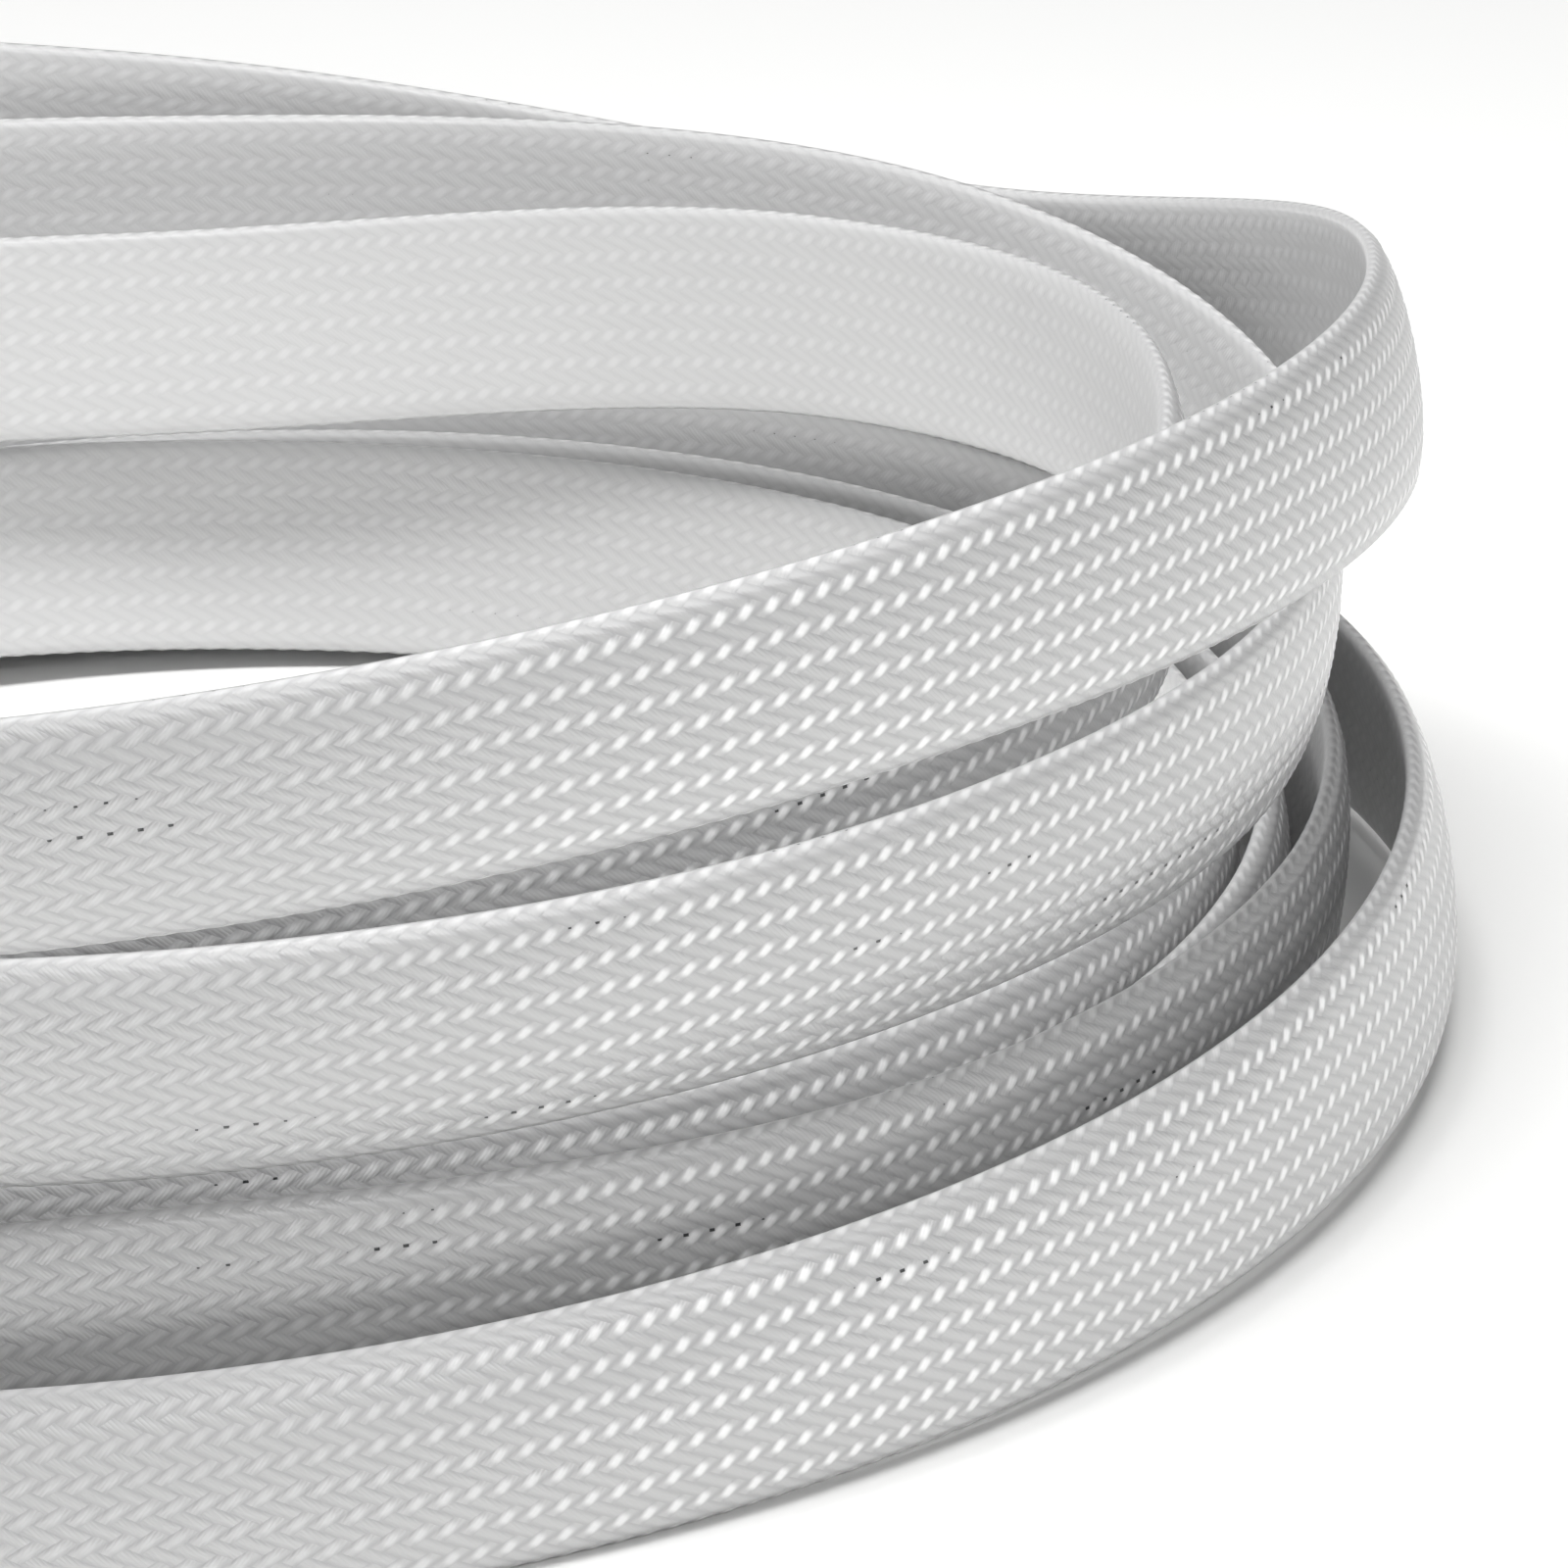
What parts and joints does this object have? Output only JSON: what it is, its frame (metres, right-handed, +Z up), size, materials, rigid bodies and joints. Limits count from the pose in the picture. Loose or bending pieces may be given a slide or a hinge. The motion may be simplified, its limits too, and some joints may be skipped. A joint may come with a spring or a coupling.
{
  "type": "braided cable sleeve",
  "caption": "Flat-laid white braided plastic sleeve in a loose round coil of separate turns, open at both cut ends, for covering wires.",
  "frame": {"origin": "middle of the coil's bounding box, at the floor it lies on", "axes": "+Z is up, along the coil's axis; the side that the picture shows faces -Y"},
  "size_m": [0.2414, 0.2414, 0.0931],
  "materials": {
    "braid": "natural white monofilament, satin, a little translucent"
  },
  "bodies": {
    "root": {"braided_sleeve": "braid"}
  },
  "joints": []
}
